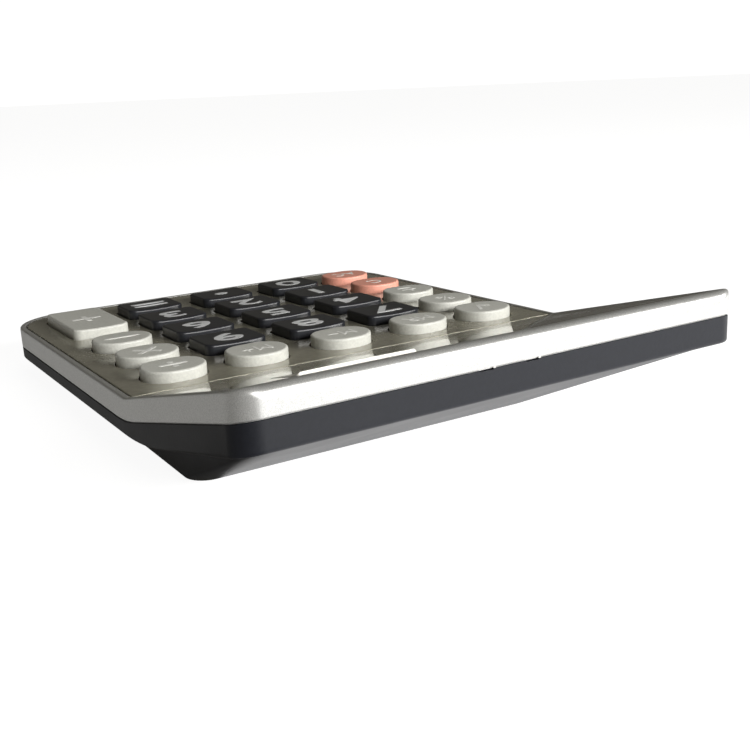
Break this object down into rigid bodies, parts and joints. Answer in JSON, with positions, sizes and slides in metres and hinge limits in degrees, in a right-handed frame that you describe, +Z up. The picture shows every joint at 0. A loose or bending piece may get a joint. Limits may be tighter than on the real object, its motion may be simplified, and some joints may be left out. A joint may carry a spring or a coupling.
{
  "type": "pocket calculator",
  "caption": "Pocket calculator with a tilted display section, silver casing over a black shell with a wedge-shaped belly, and separate sprung keys.",
  "frame": {"origin": "on the surface it rests on, under the middle of the case", "axes": "+Z up, +Y towards the display end, +X towards the right-hand side as the user reads it"},
  "size_m": [0.0868, 0.1206, 0.0226],
  "materials": {
    "silver_case": "satin silver paint",
    "gunmetal_plate": "gloss gunmetal",
    "display_window": "clear gloss acrylic",
    "solar_window": "clear gloss acrylic",
    "black_case": "fine matte texture",
    "lcd_glass": "grey-green polariser",
    "white_plastic": "matte",
    "flex_film": "satin",
    "solar_cell": "gloss",
    "wire_jacket": "satin",
    "board_laminate": "satin solder mask",
    "resin": "satin",
    "smd_body": "matte",
    "keypad_rubber": "matte silicone",
    "cell_steel": "satin",
    "contact_brass": "satin",
    "contact_steel": "satin",
    "door_plastic": "fine matte texture",
    "screw_steel": "zinc",
    "foot_rubber": "matte",
    "grey_key": "satin",
    "coral_key": "satin",
    "black_key": "satin"
  },
  "bodies": {
    "case": {"front_cover": "silver_case", "keyboard_plate": "gunmetal_plate", "display_window": "display_window", "solar_window": "solar_window", "rear_cover": "black_case", "lcd_panel": "lcd_glass", "lcd_holder": "white_plastic", "lcd_flex": "flex_film", "solar_cell": "solar_cell", "power_wires": "wire_jacket", "main_board": "board_laminate", "calc_chip": "resin", "smd_parts": "smd_body", "keypad_mat": "keypad_rubber", "battery_cell": "cell_steel", "contact_plus": "contact_brass", "contact_minus": "contact_steel", "battery_door": "door_plastic", "door_screw": "screw_steel", "case_screws": "screw_steel", "board_screws": "screw_steel", "rubber_feet": "foot_rubber"},
    "key_root": {"key_root": "grey_key"},
    "key_mrc": {"key_mrc": "grey_key"},
    "key_m_minus": {"key_m_minus": "grey_key"},
    "key_m_plus": {"key_m_plus": "grey_key"},
    "key_divide": {"key_divide": "grey_key"},
    "key_percent": {"key_percent": "grey_key"},
    "key_7": {"key_7": "black_key"},
    "key_8": {"key_8": "black_key"},
    "key_9": {"key_9": "black_key"},
    "key_times": {"key_times": "grey_key"},
    "key_shift": {"key_shift": "grey_key"},
    "key_4": {"key_4": "black_key"},
    "key_5": {"key_5": "black_key"},
    "key_6": {"key_6": "black_key"},
    "key_minus": {"key_minus": "grey_key"},
    "key_c": {"key_c": "coral_key"},
    "key_1": {"key_1": "black_key"},
    "key_2": {"key_2": "black_key"},
    "key_3": {"key_3": "black_key"},
    "key_plus": {"key_plus": "grey_key"},
    "key_on": {"key_on": "coral_key"},
    "key_0": {"key_0": "black_key"},
    "key_point": {"key_point": "black_key"},
    "key_equals": {"key_equals": "black_key"}
  },
  "joints": [
    {"name": "key_root_press", "type": "slide", "parent": "case", "child": "key_root", "axis": [0, 0.0175, -0.9998], "range_m": [0, 0.0008], "stiffness_N_per_m": 250, "springref_m": -0.0004, "deforming": ["keypad_mat"]},
    {"name": "key_mrc_press", "type": "slide", "parent": "case", "child": "key_mrc", "axis": [0, 0.0175, -0.9998], "range_m": [0, 0.0008], "stiffness_N_per_m": 250, "springref_m": -0.0004},
    {"name": "key_m_minus_press", "type": "slide", "parent": "case", "child": "key_m_minus", "axis": [0, 0.0175, -0.9998], "range_m": [0, 0.0008], "stiffness_N_per_m": 250, "springref_m": -0.0004},
    {"name": "key_m_plus_press", "type": "slide", "parent": "case", "child": "key_m_plus", "axis": [0, 0.0175, -0.9998], "range_m": [0, 0.0008], "stiffness_N_per_m": 250, "springref_m": -0.0004},
    {"name": "key_divide_press", "type": "slide", "parent": "case", "child": "key_divide", "axis": [0, 0.0175, -0.9998], "range_m": [0, 0.0008], "stiffness_N_per_m": 250, "springref_m": -0.0004},
    {"name": "key_percent_press", "type": "slide", "parent": "case", "child": "key_percent", "axis": [0, 0.0175, -0.9998], "range_m": [0, 0.0008], "stiffness_N_per_m": 250, "springref_m": -0.0004},
    {"name": "key_7_press", "type": "slide", "parent": "case", "child": "key_7", "axis": [0, 0.0175, -0.9998], "range_m": [0, 0.0008], "stiffness_N_per_m": 250, "springref_m": -0.0004},
    {"name": "key_8_press", "type": "slide", "parent": "case", "child": "key_8", "axis": [0, 0.0175, -0.9998], "range_m": [0, 0.0008], "stiffness_N_per_m": 250, "springref_m": -0.0004},
    {"name": "key_9_press", "type": "slide", "parent": "case", "child": "key_9", "axis": [0, 0.0175, -0.9998], "range_m": [0, 0.0008], "stiffness_N_per_m": 250, "springref_m": -0.0004},
    {"name": "key_times_press", "type": "slide", "parent": "case", "child": "key_times", "axis": [0, 0.0175, -0.9998], "range_m": [0, 0.0008], "stiffness_N_per_m": 250, "springref_m": -0.0004},
    {"name": "key_shift_press", "type": "slide", "parent": "case", "child": "key_shift", "axis": [0, 0.0175, -0.9998], "range_m": [0, 0.0008], "stiffness_N_per_m": 250, "springref_m": -0.0004},
    {"name": "key_4_press", "type": "slide", "parent": "case", "child": "key_4", "axis": [0, 0.0175, -0.9998], "range_m": [0, 0.0008], "stiffness_N_per_m": 250, "springref_m": -0.0004},
    {"name": "key_5_press", "type": "slide", "parent": "case", "child": "key_5", "axis": [0, 0.0175, -0.9998], "range_m": [0, 0.0008], "stiffness_N_per_m": 250, "springref_m": -0.0004},
    {"name": "key_6_press", "type": "slide", "parent": "case", "child": "key_6", "axis": [0, 0.0175, -0.9998], "range_m": [0, 0.0008], "stiffness_N_per_m": 250, "springref_m": -0.0004},
    {"name": "key_minus_press", "type": "slide", "parent": "case", "child": "key_minus", "axis": [0, 0.0175, -0.9998], "range_m": [0, 0.0008], "stiffness_N_per_m": 250, "springref_m": -0.0004},
    {"name": "key_c_press", "type": "slide", "parent": "case", "child": "key_c", "axis": [0, 0.0175, -0.9998], "range_m": [0, 0.0008], "stiffness_N_per_m": 250, "springref_m": -0.0004},
    {"name": "key_1_press", "type": "slide", "parent": "case", "child": "key_1", "axis": [0, 0.0175, -0.9998], "range_m": [0, 0.0008], "stiffness_N_per_m": 250, "springref_m": -0.0004},
    {"name": "key_2_press", "type": "slide", "parent": "case", "child": "key_2", "axis": [0, 0.0175, -0.9998], "range_m": [0, 0.0008], "stiffness_N_per_m": 250, "springref_m": -0.0004},
    {"name": "key_3_press", "type": "slide", "parent": "case", "child": "key_3", "axis": [0, 0.0175, -0.9998], "range_m": [0, 0.0008], "stiffness_N_per_m": 250, "springref_m": -0.0004},
    {"name": "key_plus_press", "type": "slide", "parent": "case", "child": "key_plus", "axis": [0, 0.0175, -0.9998], "range_m": [0, 0.0008], "stiffness_N_per_m": 250, "springref_m": -0.0004},
    {"name": "key_on_press", "type": "slide", "parent": "case", "child": "key_on", "axis": [0, 0.0175, -0.9998], "range_m": [0, 0.0008], "stiffness_N_per_m": 250, "springref_m": -0.0004},
    {"name": "key_0_press", "type": "slide", "parent": "case", "child": "key_0", "axis": [0, 0.0175, -0.9998], "range_m": [0, 0.0008], "stiffness_N_per_m": 250, "springref_m": -0.0004},
    {"name": "key_point_press", "type": "slide", "parent": "case", "child": "key_point", "axis": [0, 0.0175, -0.9998], "range_m": [0, 0.0008], "stiffness_N_per_m": 250, "springref_m": -0.0004},
    {"name": "key_equals_press", "type": "slide", "parent": "case", "child": "key_equals", "axis": [0, 0.0175, -0.9998], "range_m": [0, 0.0008], "stiffness_N_per_m": 250, "springref_m": -0.0004}
  ]
}
